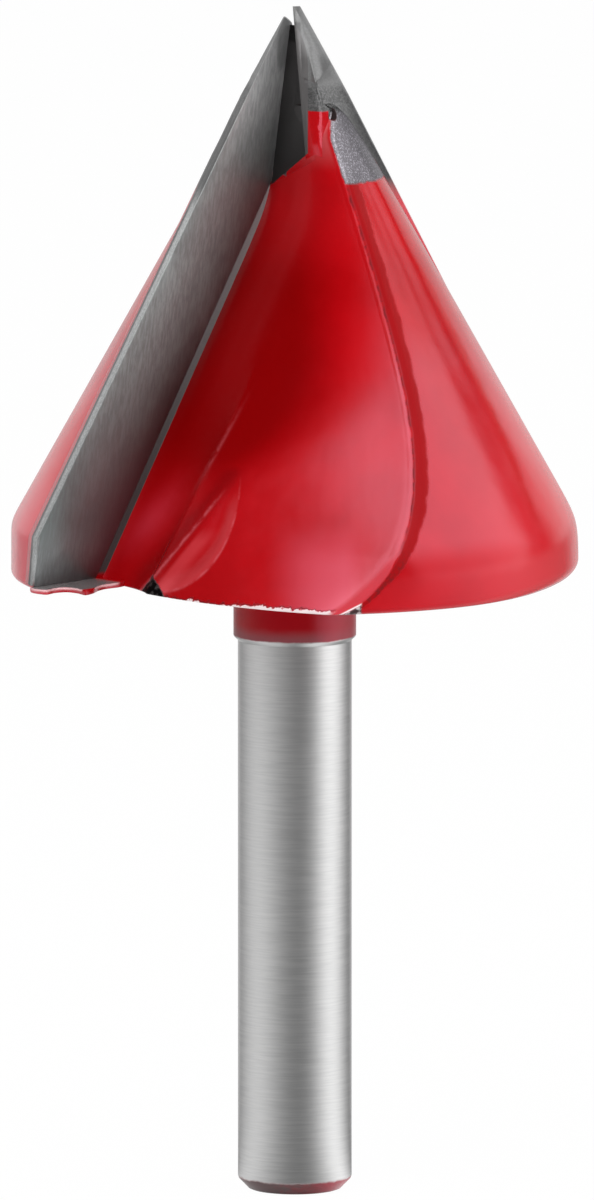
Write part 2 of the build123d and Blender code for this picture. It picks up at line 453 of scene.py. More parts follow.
shank = revolved("shank", [
    (0.4, 0.0),
    (SHANK_R - FOOT_INSET - 0.1, 0.0),
    (SHANK_R - FOOT_INSET, 0.04),
    (SHANK_R - FOOT_INSET + 0.08, 0.13),
    (SHANK_R - 0.05, FOOT_TALL - 0.08),
    (SHANK_R, FOOT_TALL + 0.05),
    (SHANK_R, COLLAR_Z - COLLAR_CHAMFER),
    (COLLAR_R - 0.03, COLLAR_Z - 0.03),
    (COLLAR_R, COLLAR_Z + 0.03),
    (COLLAR_R, BASE_Z + 1.0),
])
print("shank", len(shank.data.polygons), "faces")


# %% [markdown]
# Milling the seats and joining the shank
#
# The two seats are straight pockets, so they are cut out of the skin with a Boolean modifier,
# just as the cutter would: a flat block on the rake plane, one blade thick. The gash in front
# of each point is the straight-sided corner of a grinding wheel, cut the same way. The shank
# and the thin lips at the foot are joined on by Booleans too, so that the body is one closed
# skin, as the real one is one piece of steel.

# %% Helpers that join, cut and turn pieces
def turned_copy(piece, name):
    """Copy of a piece, half a turn round the axis, with the turn in its mesh."""
    twin = piece.copy()
    twin.data = piece.data.copy()
    twin.name = name
    co = np.empty(len(twin.data.vertices) * 3, np.float32)
    twin.data.vertices.foreach_get("co", co)
    co = co.reshape(-1, 3) * np.array([-1, -1, 1], np.float32)
    twin.data.vertices.foreach_set("co", co.ravel())
    scene.collection.objects.link(twin)
    return twin


def outward_faces(piece):
    """Turns every face of a closed piece outwards."""
    bm = bmesh.new()
    bm.from_mesh(piece.data)
    bmesh.ops.recalc_face_normals(bm, faces=bm.faces)
    bm.to_mesh(piece.data)
    bm.free()


def combine(piece, tool, operation):
    """Joins or cuts a closed piece with a closed tool, and deletes the tool."""
    outward_faces(tool)
    modifier = piece.modifiers.new(operation, "BOOLEAN")
    modifier.operation = operation
    modifier.solver = "MANIFOLD"
    modifier.object = tool
    depsgraph = bpy.context.evaluated_depsgraph_get()
    made = bpy.data.meshes.new_from_object(piece.evaluated_get(depsgraph))
    piece.modifiers.clear()
    piece.data = made
    bpy.data.objects.remove(tool)


outward_faces(body)
print("head", len(body.data.polygons), "faces")

# %% Seats of the blades
LIP_THICK = 0.3
FOOT_Z = BASE_Z + LIP_THICK
PAST_POINT_Z = POINT_Z + 1


def slab(name, corners, thick):
    """Flat block: an outline of (reach, height) on the rake plane, swept back from it."""
    reach, z = np.asarray(corners, float).T
    front = np.concatenate([on_rake(reach, z), z[:, None]], 1)
    back = np.concatenate([on_rake(reach, z, thick), z[:, None]], 1)
    n = len(corners)
    faces = [list(range(n)), list(range(n, 2 * n))[::-1]]
    faces += [[(i + 1) % n, i, n + i, n + (i + 1) % n] for i in range(n)]
    return mesh_object(name, np.concatenate([front, back]), faces, smooth=False)


seat = slab("seat", [
    (CUTTING_R + 1, FOOT_Z),
    (CUTTING_R + 1, PAST_POINT_Z),
    (inner_reach(PAST_POINT_Z), PAST_POINT_Z),
    (inner_reach(FOOT_Z), FOOT_Z),
], BLADE_THICK)
combine(body, turned_copy(seat, "seat_2"), "DIFFERENCE")
combine(body, seat, "DIFFERENCE")
print("body with seats", len(body.data.polygons), "faces")

# %% Gash in front of each point, and the shank
GASH_Z = APEX_Z - 9.6
GASH_ANGLE = math.radians(302)
GASH_SLOPE = 0.44
GASH_SIZE = 8.0
GASH_OVERLAP = 0.2
WALL = np.array([math.cos(GASH_ANGLE), math.sin(GASH_ANGLE)])


def gash(name):
    """The wheel's corner: a wedge between the rake plane and the wall, over a sloping bottom."""
    rise = GASH_SLOPE * GASH_SIZE
    heights = np.array([GASH_Z, GASH_Z - rise, GASH_Z + rise] + [PAST_POINT_Z] * 3)
    root = on_rake(0.0, heights) - WALL * GASH_OVERLAP / (WALL @ FORWARD)
    by_plane = np.array([0, 1, 0, 0, 1, 0])[:, None] * OUT
    by_wall = np.array([0, 0, 1, 0, 0, 1])[:, None] * WALL
    corners = np.concatenate([root + (by_plane + by_wall) * GASH_SIZE, heights[:, None]], 1)
    faces = [[0, 1, 2], [5, 4, 3], [0, 3, 4, 1], [1, 4, 5, 2], [2, 5, 3, 0]]
    return mesh_object(name, corners, faces, smooth=False)


wheel = gash("gash")
combine(body, turned_copy(wheel, "gash_2"), "DIFFERENCE")
combine(body, wheel, "DIFFERENCE")
combine(body, shank, "UNION")
print("body with gashes and shank", len(body.data.polygons), "faces")

# %% [markdown]
# Lips
#
# A thin ragged ledge of painted steel is left under the foot of each blade. It could be a
# displaced edge, but its bites are few and plain to see, so its outline is drawn once as a
# path of points, smoothed, and stacked to its thickness with a slightly smaller first and
# last row.

# %% Lip at the foot of each blade
LIP_PATH = np.array([
    [9.0, -0.25], [15.2, -0.25], [15.38, 0.4], [15.3, 1.25], [14.5, 1.0], [13.7, 1.2],
    [13.6, 2.0], [13.9, 2.95], [13.0, 2.7], [12.2, 2.2], [11.4, 1.95], [10.3, 2.05], [9.4, 1.8],
])
LIP_POINTS = 150
LIP_LEVELS = (0.0, 0.05, 0.12, 0.22, LIP_THICK - 0.02, LIP_THICK)
LIP_SHRINK = (0.98, 0.993, 1.0, 1.0, 0.99, 0.97)
SHARP_ANGLE = math.radians(28)


def smooth_path(points, count):
    """Closed path through points: even steps along the polygon, then neighbours averaged."""
    closed = np.concatenate([points, points[:1]])
    run = np.concatenate([[0], np.cumsum(np.linalg.norm(np.diff(closed, axis=0), axis=1))])
    at = np.linspace(0, run[-1], count, endpoint=False)
    path = np.stack([np.interp(at, run, closed[:, 0]), np.interp(at, run, closed[:, 1])], 1)
    for _ in range(5):
        path = (np.roll(path, 1, 0) + 2 * path + np.roll(path, -1, 0)) / 4
    return path


def lip(name):
    """Thin ledge in front of a blade's foot: its outline at each level, shrunk to its middle."""
    outline = smooth_path(LIP_PATH, LIP_POINTS)
    plan = OUT * outline[:, :1] + FORWARD * (set_back(BASE_Z) + outline[:, 1:])
    middle = plan.mean(0)
    return closed_stack(name, np.stack([
        np.concatenate([middle + (plan - middle) * k, np.full((len(plan), 1), BASE_Z + level)], 1)
        for level, k in zip(LIP_LEVELS, LIP_SHRINK)
    ]))


first_lip = lip("lip_1")
combine(body, turned_copy(first_lip, "lip_2"), "UNION")
combine(body, first_lip, "UNION")
body.data.set_sharp_from_angle(angle=SHARP_ANGLE)
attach(body, "root")
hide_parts("cutter_body")
print("body with lips", len(body.data.polygons), "faces")

# %% [markdown]
# Blades
#
# The blades are ground flat, so the packed solids already have nearly the right shape, and
# each piece starts as a merged copy of its solid. The photograph shows three small things
# more. The relief behind the edge is hollowed a little over its upper half. The point of the
# first blade is cut off along a slope, and the point of the second is a little wider. Last, a
# bevel of a few hundredths breaks the sharp edges round the rake face, except along the seat,
# and that is what catches the light along a real cutting edge.

# %% Cuts in a copy of a blade's solid
MERGE_WITHIN = 0.002
FLAT_ANGLE = math.radians(1)
PAST_CONE = 0.3
CHIP_AT = (-0.476, 0.2, 65.83)
CHIP_SLOPE = 0.94
RELIEF_LEVELS = (51.5, 53.0, 54.5, 56.0, 57.5, 59.0, 60.0, 61.0)


def past_cone(points):
    """How far points lie outside the cone: their radius less the cone's at their height."""
    return np.hypot(points[:, 0], points[:, 1]) - FLANK * (APEX_Z - points[:, 2])


def on_relief(face):
    """True for a face of the blade's relief, all of whose corners lie outside the cone."""
    corners = np.array([vertex.co[:] for vertex in face.verts]) / MM
    return bool((past_cone(corners) > PAST_CONE).all())


def slope_point(bm):
    """Cuts the point off along a sloping plane, and closes the cut with one face."""
    cut = bmesh.ops.bisect_plane(
        bm, geom=bm.verts[:] + bm.edges[:] + bm.faces[:],
        plane_co=Vector(CHIP_AT) * MM, plane_no=(CHIP_SLOPE, 0, 1), clear_outer=True,
    )
    rim = [edge for edge in cut["geom_cut"] if isinstance(edge, bmesh.types.BMEdge)]
    bmesh.ops.edgeloop_fill(bm, edges=rim)


def level_edges(bm):
    """Adds a level edge across the relief at each of its levels, so that it can be hollowed."""
    for level in RELIEF_LEVELS:
        relief = [face for face in bm.faces if on_relief(face)]
        edges = list({edge for face in relief for edge in face.edges})
        bmesh.ops.bisect_plane(
            bm, geom=relief + edges, plane_co=(0, 0, level * MM), plane_no=(0, 0, 1), dist=1e-7,
        )


def blade_mesh(node, sloped):
    """Copy of a blade's solid: doubles merged, flat faces joined, and the cuts made."""
    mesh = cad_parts[node].data.copy()
    bm = bmesh.new()
    bm.from_mesh(mesh)
    bmesh.ops.remove_doubles(bm, verts=bm.verts, dist=MERGE_WITHIN * MM)
    bmesh.ops.dissolve_limit(bm, angle_limit=FLAT_ANGLE, verts=bm.verts, edges=bm.edges)
    bmesh.ops.recalc_face_normals(bm, faces=bm.faces)
    if sloped:
        slope_point(bm)
    level_edges(bm)
    bm.to_mesh(mesh)
    bm.free()
    return mesh


blade_1 = blade_mesh("carbide_blade_1", sloped=True)
blade_2 = blade_mesh("carbide_blade_2", sloped=False)
print("blade vertices", len(blade_1.vertices), len(blade_2.vertices))

# %% Grinding of the blades
RELIEF_EXTRA = 0.24
HOLLOW_FROM_Z, HOLLOW_FULL_Z = 51.0, 55.5
HOLLOW_LEAVES_Z, HOLLOW_GONE_Z = 58.8, 62.2
TIP_EXTRA = 0.2
TIP_FROM_Z, TIP_FULL_Z = 65.9, 66.4
FACE_DEPTH = 0.05
SEAT_NEAR = 0.1


def vertex_points(mesh, turn):
    """A mesh's vertices in millimetres, one row each, turned to the first blade's side."""
    flat = np.empty(len(mesh.vertices) * 3)
    mesh.vertices.foreach_get("co", flat)
    return flat.reshape(-1, 3) / MM * turn


def ground(co, ahead, wider):
    """Places of the vertices after grinding, in two moves.

    Outside the cone, a vertex moves in along the reach by the extra relief, times a smooth
    rise from 51 to 55.5 mm, a smooth fall from 58.8 to 62.2 mm, and its share of the blade's
    thickness behind the edge. A wider point moves aside by a smooth step up to its end.
    """
    co = co.copy()
    z = co[:, 2]
    hollow = RELIEF_EXTRA * smooth_step(HOLLOW_GONE_Z, HOLLOW_LEAVES_Z, z)
    hollow = hollow * smooth_step(HOLLOW_FROM_Z, HOLLOW_FULL_Z, z)
    behind = np.clip(-ahead / BLADE_THICK, 0, 1)
    co[:, :2] -= OUT * ((past_cone(co) > PAST_CONE) * hollow * behind)[:, None]
    if wider:
        co[:, 0] += TIP_EXTRA * smooth_step(TIP_FROM_Z, TIP_FULL_Z, z) * (co[:, 0] > -0.2)
    return co


def grind(mesh, side):
    """Grinds a blade's mesh in place; gives 1 for each edge to be broken and 0 for the rest.

    An edge is broken where both its ends are on the rake face and not both on the seat's line.
    """
    turn = np.array([side, side, 1])
    co = vertex_points(mesh, turn)
    ahead = co[:, :2] @ FORWARD - set_back(co[:, 2])
    co = ground(co, ahead, wider=side < 0)
    mesh.vertices.foreach_set("co", (co * turn * MM).astype(np.float32).ravel())
    on_face = ahead > -FACE_DEPTH
    at_seat = np.abs(co[:, :2] @ OUT - inner_reach(co[:, 2])) < SEAT_NEAR
    ends = np.empty(len(mesh.edges) * 2, np.int32)
    mesh.edges.foreach_get("vertices", ends)
    ends = ends.reshape(-1, 2)
    return (on_face[ends].all(1) & ~at_seat[ends].all(1)).astype(np.float32)


broken_1, broken_2 = grind(blade_1, 1), grind(blade_2, -1)
print("edges to be broken", int(broken_1.sum()), int(broken_2.sum()))

# %% Blades with broken edges
EDGE_BREAK = 0.045


def dressed_blade(node, mesh, broken):
    """Piece from a ground blade: smooth faces, and a two-step bevel along its broken edges."""
    weight = mesh.attributes.new("bevel_weight_edge", "FLOAT", "EDGE")
    weight.data.foreach_set("value", broken)
    mesh.polygons.foreach_set("use_smooth", np.full(len(mesh.polygons), True))
    piece = bpy.data.objects.new(node + "_ground", mesh)
    scene.collection.objects.link(piece)
    bevel = piece.modifiers.new("broken_edge", "BEVEL")
    bevel.width = EDGE_BREAK * MM
    bevel.segments = 2
    bevel.limit_method = "WEIGHT"
    bevel.harden_normals = True
    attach(piece, "root")
    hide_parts(node)
    return piece


blades = [
    dressed_blade("carbide_blade_1", blade_1, broken_1),
    dressed_blade("carbide_blade_2", blade_2, broken_2),
]
print("blades", [len(blade.data.polygons) for blade in blades], "faces before the bevel")

# %% [markdown]
# Camera
#
# The photograph was taken with a long lens a little above the tool. A long lens at a distance
# keeps the shank's sides parallel, and its scale in pixels a millimetre places the frame.

# %% Camera
PIXELS_PER_MM = 17.95
AXIS_X_PIXEL = 294.8
FOOT_Y_PIXEL = 1188.7
WIDTH, HEIGHT = 594, 1200
ELEVATION = math.radians(8.5)
DISTANCE = 1.6
SENSOR = 36.0

camera_data = bpy.data.cameras.new("camera")
camera = bpy.data.objects.new("camera", camera_data)
scene.collection.objects.link(camera)
scene.camera = camera
look_x = (WIDTH / 2 - AXIS_X_PIXEL) / PIXELS_PER_MM * MM
look_z = (FOOT_Y_PIXEL - HEIGHT / 2) / PIXELS_PER_MM / math.cos(ELEVATION) * MM
rise = DISTANCE * math.sin(ELEVATION)
camera.location = (look_x, -DISTANCE * math.cos(ELEVATION), look_z + rise)
camera.rotation_euler = (math.pi / 2 - ELEVATION, 0, 0)
camera_data.sensor_fit = "VERTICAL"
camera_data.sensor_height = SENSOR
camera_data.lens = SENSOR * DISTANCE / (HEIGHT / PIXELS_PER_MM * MM)
camera_data.clip_start = 0.05
camera_data.clip_end = 20
print("lens", round(camera_data.lens, 1))


# %% [markdown]
# Sums as nodes
#
# A procedural material is arithmetic on the place of a point. The class below wraps a node
# socket, so that the arithmetic can be written as arithmetic, and each operation adds one
# Math node. Drawing the nodes by hand would give the same tree, but not one that can be read.

# %% A socket that can be added and multiplied
class Field:
    """A number that varies over a surface, held as an output socket of a node tree."""

    def __init__(self, tree, socket):
        self.tree = tree
        self.socket = socket

    def math(self, operation, *others):
        """The result of one Math node, with this field as its first input."""
        node = self.tree.nodes.new("ShaderNodeMath")
        node.operation = operation
        for slot, value in zip(node.inputs, (self, *others)):
            plug(self.tree, value, slot)
        return Field(self.tree, node.outputs[0])

    def __add__(self, other):
        return self.math("ADD", other)

    def __sub__(self, other):
        return self.math("SUBTRACT", other)

    def __mul__(self, other):
        return self.math("MULTIPLY", other)

    def __truediv__(self, other):
        return self.math("DIVIDE", other)

    def __rsub__(self, other):
        return self * -1.0 + other

    def step(self, low, high):
        """0 at low, 1 at high, smooth between; low may be the larger."""
        node = self.tree.nodes.new("ShaderNodeMapRange")
        node.interpolation_type = "SMOOTHSTEP"
        flip = low > high
        low, high = min(low, high), max(low, high)
        values = (self, low, high, 1.0 if flip else 0.0, 0.0 if flip else 1.0)
        for slot, value in zip(node.inputs, values):
            plug(self.tree, value, slot)
        return Field(self.tree, node.outputs[0])

    def bump(self, centre, width):
        """1 at the centre, falling to about 0.37 one width away: exp(-d * d)."""
        away = (self - centre) / width
        return (away * away * -1.0).math("EXPONENT")


def plug(tree, value, slot):
    """Links a field or a socket to a slot, or sets the slot's number."""
    if isinstance(value, Field):
        tree.links.new(value.socket, slot)
    elif isinstance(value, (int, float, tuple)):
        slot.default_value = value
    else:
        tree.links.new(value, slot)


print("fields can do", [name for name in vars(Field) if name in ("math", "step", "bump")])


# %% Helpers that add nodes
def add_node(tree, kind, links=(), **values):
    """Adds a node, sets its properties, and plugs its inputs, given by name."""
    node = tree.nodes.new(kind)
    for key, value in values.items():
        setattr(node, key, value)
    for name, value in dict(links).items():
        plug(tree, value, node.inputs[name])
    return node


def fresh_tree(owner):
    """The owner's node tree, emptied."""
    owner.use_nodes = True
    owner.node_tree.nodes.clear()
    return owner.node_tree


def noise(tree, place, scale, detail=3.0, rough=0.55, stretch=(1.0, 1.0, 1.0), seed=0.0):
    """Smooth noise of about 0 to 1, at a number of features in each millimetre."""
    moved = add_node(tree, "ShaderNodeMapping", {
        "Vector": place, "Location": (seed, seed, seed), "Scale": stretch,
    })
    made = add_node(tree, "ShaderNodeTexNoise", {
        "Vector": moved.outputs[0], "Scale": scale, "Detail": detail, "Roughness": rough,
    })
    return Field(tree, made.outputs["Fac"])


def blend(tree, share, first, second):
    """Colour that goes from the first to the second by a share."""
    node = add_node(tree, "ShaderNodeMix", data_type="RGBA")
    plug(tree, share, node.inputs[0])
    for slot, value in ((node.inputs[6], first), (node.inputs[7], second)):
        plug(tree, (*value, 1.0) if isinstance(value, tuple) else value, slot)
    return node.outputs[2]


def layered(tree, colour, layers):
    """Colour after each (share, colour) of a list is laid over it in turn."""
    for share, laid in layers:
        colour = blend(tree, share, colour, laid)
    return colour


def largest(first, *others):
    """The largest of several fields."""
    for other in others:
        first = first.math("MAXIMUM", other)
    return first


def mixed_shader(tree, share, first, second):
    """Shader that goes from the first to the second by a share."""
    node = add_node(tree, "ShaderNodeMixShader")
    for slot, value in zip(node.inputs, (share, first.outputs[0], second.outputs[0])):
        plug(tree, value, slot)
    return node


print("helpers for nodes:", ", ".join(made.__name__ for made in (noise, blend, layered, largest)))

# %% [markdown]
# Floor, lamps and room
#
# The tool stands on a pale floor in a white studio. Two soft boxes light it, the larger above
# the camera and the other at the right, and the space round the camera is dark, which draws
# the dark stripe down the middle of the shank. Cards could be modelled for that, but a card
# would show in other views, so the floor and the room change what only reflections see.

# %% Floor
FLOOR_SIDE, FLOOR_FAR, FLOOR_DROP = 1500, 6000, 0.02
FLOOR_WHITE = (0.86, 0.86, 0.86, 1.0)
WHITE_SHARE = 0.985
TO_DEGREES = 180.0 / math.pi
# A lobe of light is a direction round from the camera and a width in degrees, and a strength.
LEFT_LOBE = (-80.0, 52.0, 0.82)
RIGHT_LOBE = (78.0, 37.0, 1.3)
FAR_TURN = (142.0, 158.0)
FAR_LEVEL, NEAR_LEVEL = 0.6, 0.18


def lobe(turn, centre, width, strength):
    """Soft lobe of light round a direction."""
    return turn.bump(centre, width) * strength


def shank_light(x, y):
    """What the shank sees in the floor: two soft lobes at its sides, and dim at the camera."""
    turn = x.math("ARCTAN2", y * -1.0) * TO_DEGREES
    far = turn.math("ABSOLUTE").step(*FAR_TURN) * FAR_LEVEL
    return lobe(turn, *LEFT_LOBE) + lobe(turn, *RIGHT_LOBE) + far + NEAR_LEVEL


def floor_material():
    """Pale matt floor: white to the camera less a soft shadow, and studio-lit in reflections."""
    material = bpy.data.materials.new("pale_floor")
    tree = fresh_tree(material)
    place = add_node(tree, "ShaderNodeTexCoord")
    split = add_node(tree, "ShaderNodeSeparateXYZ", {"Vector": place.outputs["Object"]})
    level = shank_light(Field(tree, split.outputs[0]), Field(tree, split.outputs[1]))
    matt = add_node(tree, "ShaderNodeBsdfDiffuse", {"Color": FLOOR_WHITE})
    white = add_node(tree, "ShaderNodeEmission", {"Strength": 1.0})
    mirrored = add_node(tree, "ShaderNodeEmission", {"Strength": level})
    path = add_node(tree, "ShaderNodeLightPath")
    seen = Field(tree, path.outputs["Is Camera Ray"]) * WHITE_SHARE
    by_camera = mixed_shader(tree, seen, matt, white)
    by_gloss = mixed_shader(tree, path.outputs["Is Glossy Ray"], by_camera, mirrored)
    add_node(tree, "ShaderNodeOutputMaterial", {"Surface": by_gloss.outputs[0]})
    return material


floor = mesh_object("floor", [
    (-FLOOR_SIDE, -FLOOR_SIDE, -FLOOR_DROP), (FLOOR_SIDE, -FLOOR_SIDE, -FLOOR_DROP),
    (FLOOR_SIDE, FLOOR_FAR, -FLOOR_DROP), (-FLOOR_SIDE, FLOOR_FAR, -FLOOR_DROP),
], [[0, 1, 2, 3]], smooth=False)
floor.data.materials.append(floor_material())
print("floor reaches", FLOOR_FAR, "mm back")

# %% Lamps
AIM = Vector((0, 0, 0.045))


def soft_box(name, azimuth, size, power, distance, height):
    """Rectangular lamp aimed at the head, at an angle round from the camera's direction."""
    data = bpy.data.lights.new(name, "AREA")
    data.shape = "RECTANGLE"
    data.size, data.size_y = size
    data.energy = power
    lamp = bpy.data.objects.new(name, data)
    scene.collection.objects.link(lamp)
    turn = math.radians(azimuth)
    lamp.location = (distance * math.sin(turn), -distance * math.cos(turn), height)
    lamp.rotation_euler = (AIM - lamp.location).to_track_quat("-Z", "Y").to_euler()
    return lamp


lamps = [
    soft_box("front_box", -18, (0.48, 0.74), 3.2, distance=0.32, height=0.42),
    soft_box("right_box", 80, (0.52, 0.55), 1.4, distance=0.40, height=0.2),
]
print("lamps", [lamp.name for lamp in lamps])


# %% Room
BEHIND_TURN = (126.0, 142.0)
BEHIND_LEVEL = 1.05
ROOM_LOBE = (85.0, 45.0, 0.12)
ROOM_LEVEL = 0.06
WHITE = (1.0, 1.0, 1.0)


def studio_world():
    """White to the camera. To the rest: a white backdrop behind, and a dim room in front."""
    world = bpy.data.worlds.new("studio")
    scene.world = world
    tree = fresh_tree(world)
    place = add_node(tree, "ShaderNodeTexCoord")
    split = add_node(tree, "ShaderNodeSeparateXYZ", {"Vector": place.outputs["Generated"]})
    x, y = (Field(tree, split.outputs[i]) for i in range(2))
    turn = x.math("ARCTAN2", y * -1.0) * TO_DEGREES
    behind = turn.math("ABSOLUTE").step(*BEHIND_TURN)
    level = behind * BEHIND_LEVEL + lobe(turn, *ROOM_LOBE) + ROOM_LEVEL
    room = add_node(tree, "ShaderNodeBackground", {"Strength": level})
    seen = add_node(tree, "ShaderNodeBackground", {"Color": (*WHITE, 1.0)})
    path = add_node(tree, "ShaderNodeLightPath")
    mix = mixed_shader(tree, path.outputs["Is Camera Ray"], room, seen)
    add_node(tree, "ShaderNodeOutputWorld", {"Surface": mix.outputs[0]})
    return world


print("room", len(studio_world().node_tree.nodes), "nodes")

# %% [markdown]
# Where a point lies on the tool
#
# Paint chips at an edge, and grinding stops at a line, so both materials need to know where a
# point lies: how far inside the cone, ahead of the rake plane, or beside the heel. The sums
# are the same for both, so they are one node group, placed in each material. It also puts out
# the ragged noise that makes every edge of the paint uneven, and the small nick at the point.

# %% Shared group: where a point lies on the tool
PLACE_OUTPUTS = (
    "X", "Z", "Own X", "Depth", "Ahead", "Reach", "From Edge", "Heel", "Turn", "Gash",
    "Nick", "Ragged",
)
NICK_Z = 60.72
BEND_X, BEND_SLOPE = -1.45, 0.34
GASH_EDGE_X, GASH_CURVE_Z = 0.735, 63.2
GASH_CURVE, GASH_POWER = -0.095, 2.4


def along(x, y, direction):
    """How far a point lies along a direction in plan."""
    return x * float(direction[0]) + y * float(direction[1])


def own_side(x, y, z):
    """1 on the half of blade 1 and -1 on that of blade 2, which is half a turn round."""
    plane = (z - BASE_Z) * LEAN - SET_BACK
    outwards = along(x, y, OUT).math("SIGN")
    return (along(x, y, FORWARD) - (plane - BLADE_THICK - 0.1) * outwards).math("SIGN")


def from_heel(z, turn, radius):
    """Distance from the heel round the surface; its angle is heel_angle's, with a plain step."""
    swing = ((z - BASE_Z) / -SWING_FALL).math("EXPONENT") * HEEL_SWING
    tip = z.step(DROP_Z - DROP_HALF, DROP_Z + DROP_HALF)
    rise = z.step(RISE_LOW, RISE_HIGH) * (1.0 - tip) * HEEL_RISE
    heel_at = swing + (360.0 - HEEL_ANGLE) + tip * HEEL_DROP - rise
    return (heel_at - turn) * radius * (math.pi / 180.0)


def in_gash(x, y, z, ahead):
    """Distance inside the gash: the least of those to its bottom, its wall and the rake plane.

    The bottom bends down past one x, and the wall's edge curves by a power of the height.
    """
    plane = (z - BASE_Z) * LEAN - SET_BACK
    by_wall = along(x, y, WALL) - plane * float(WALL @ FORWARD)
    bend = (x - BEND_X).math("MAXIMUM", 0.0) * BEND_SLOPE
    over = z - GASH_Z - by_wall * GASH_SLOPE - bend
    above = (z - GASH_CURVE_Z).math("MAXIMUM", 0.0)
    edge = above.math("POWER", GASH_POWER) * GASH_CURVE + GASH_EDGE_X
    return over.math("MINIMUM", edge - x).math("MINIMUM", ahead)


def make_place_group():
    """Group that puts out a point's place in millimetres, in the terms of the sizes above."""
    group = bpy.data.node_groups.new("place_on_tool", "ShaderNodeTree")
    group.interface.new_socket("Place", in_out="OUTPUT", socket_type="NodeSocketVector")
    for name in PLACE_OUTPUTS:
        group.interface.new_socket(name, in_out="OUTPUT", socket_type="NodeSocketFloat")
    coordinates = add_node(group, "ShaderNodeTexCoord")
    scaled = add_node(group, "ShaderNodeVectorMath", operation="SCALE")
    group.links.new(coordinates.outputs["Object"], scaled.inputs[0])
    scaled.inputs["Scale"].default_value = 1 / MM
    split = add_node(group, "ShaderNodeSeparateXYZ", {"Vector": scaled.outputs[0]})
    x, y, z = (Field(group, split.outputs[i]) for i in range(3))
    radius = (x * x + y * y).math("SQRT")
    cone = (z * -1.0 + APEX_Z) * FLANK
    depth = cone.math("MINIMUM", BAND_R) - radius
    side = own_side(x, y, z)
    own_x, own_y = x * side, y * side
    ahead = along(own_x, own_y, FORWARD) - (z - BASE_Z) * LEAN + SET_BACK
    reach = along(own_x, own_y, OUT)
    from_edge = reach - (INNER_AXIS_Z - z) * (INNER_FOOT / (INNER_AXIS_Z - BASE_Z))
    turn = (own_y * -1.0).math("ARCTAN2", own_x) * TO_DEGREES
    heel = from_heel(z, turn, radius)
    nick = heel.bump(-0.03, 0.2) * z.bump(NICK_Z, 0.36)
    ragged = noise(group, scaled.outputs[0], 1.1, 5.0, 0.65, seed=7.0)
    values = (
        x, z, own_x, depth, ahead, reach, from_edge, heel, turn,
        in_gash(own_x, own_y, z, ahead), nick, ragged,
    )
    links = {"Place": scaled.outputs[0], **dict(zip(PLACE_OUTPUTS, values))}
    add_node(group, "NodeGroupOutput", links)
    return group


place_group = make_place_group()


def place_fields(tree):
    """The place group's vector, and its numbers as a dictionary of fields."""
    node = add_node(tree, "ShaderNodeGroup", node_tree=place_group)
    return node.outputs["Place"], {name: Field(tree, node.outputs[name]) for name in PLACE_OUTPUTS}


print("place group", len(place_group.nodes), "nodes,", len(PLACE_OUTPUTS), "numbers")

# %% [markdown]
# Paint on the body
#
# The body has one material, because it is one piece of steel, painted red from the collar up.
# Masks say where there is no paint: the ground shank, the chipped edge of the base, the gash
# and the land near the point, which look ground through the paint, and a small notch. Under
# the paint is steel, so the same masks switch the colour, the metal and the roughness
# together. Separate pieces with a material each would be simpler, but would cut one piece of
# steel apart. The red is laid in layers, from broad pools of painted shade and painted
# highlights in the gullet and on the flank, to the finest scratches.

# %% Where the paint is gone
# The wobble moves every line of the paint a little in and out. Own X is the x of a point once
# it is turned to the first blade's half, so that both halves are painted alike, and plain x is
# used where the two halves differ.
PAINT_STOP_Z = 60.9
LAND_Z = 57.0
NOTCH_X, NOTCH_TOP_Z = -7.87, 35.62

painted = bpy.data.materials.new("painted_steel")
tree = fresh_tree(painted)
place, spot = place_fields(tree)
x, z, own, heel, ragged = spot["X"], spot["Z"], spot["Own X"], spot["Heel"], spot["Ragged"]
wobble = (ragged - 0.5) * 0.5
fine = noise(tree, place, 3.0, 4.0)
head = z.step(BASE_Z - 0.02, BASE_Z)
in_gullet = spot["Depth"].step(0.25, 0.5) * head
on_flank = (1.0 - in_gullet) * head

on_shank = (z + wobble * 0.35).step(COLLAR_Z + 0.1, COLLAR_Z - 0.02)
foot = (z + wobble * 0.5).step(FOOT_TALL + 0.12, FOOT_TALL - 0.04)
notch_at = (x - NOTCH_X).math("ABSOLUTE") * 1.4 + z + wobble * 0.9
notch = notch_at.step(NOTCH_TOP_Z, NOTCH_TOP_Z - 0.17) * in_gullet
gash_bare = (spot["Gash"] + wobble * 0.15).step(-0.02, 0.03)
tip_bare = (z + wobble * 0.5).step(PAINT_STOP_Z - 0.06, PAINT_STOP_Z + 0.04)
land = (z + wobble * 0.6).step(LAND_Z - 0.05, LAND_Z + 0.1)
land = land * (heel + wobble * 0.25).step(-0.14, -0.08)
nick = spot["Nick"].step(0.3, 0.5)
bare = largest(on_shank, notch, gash_bare, tip_bare, land) * (1.0 - foot) * (1.0 - nick)
print("masks of bare steel:", len(tree.nodes), "nodes so far")

# %% Chips along the rim, and wear along the heel
SCRATCH_X, SCRATCH_SLOPE = 2.41, 0.5

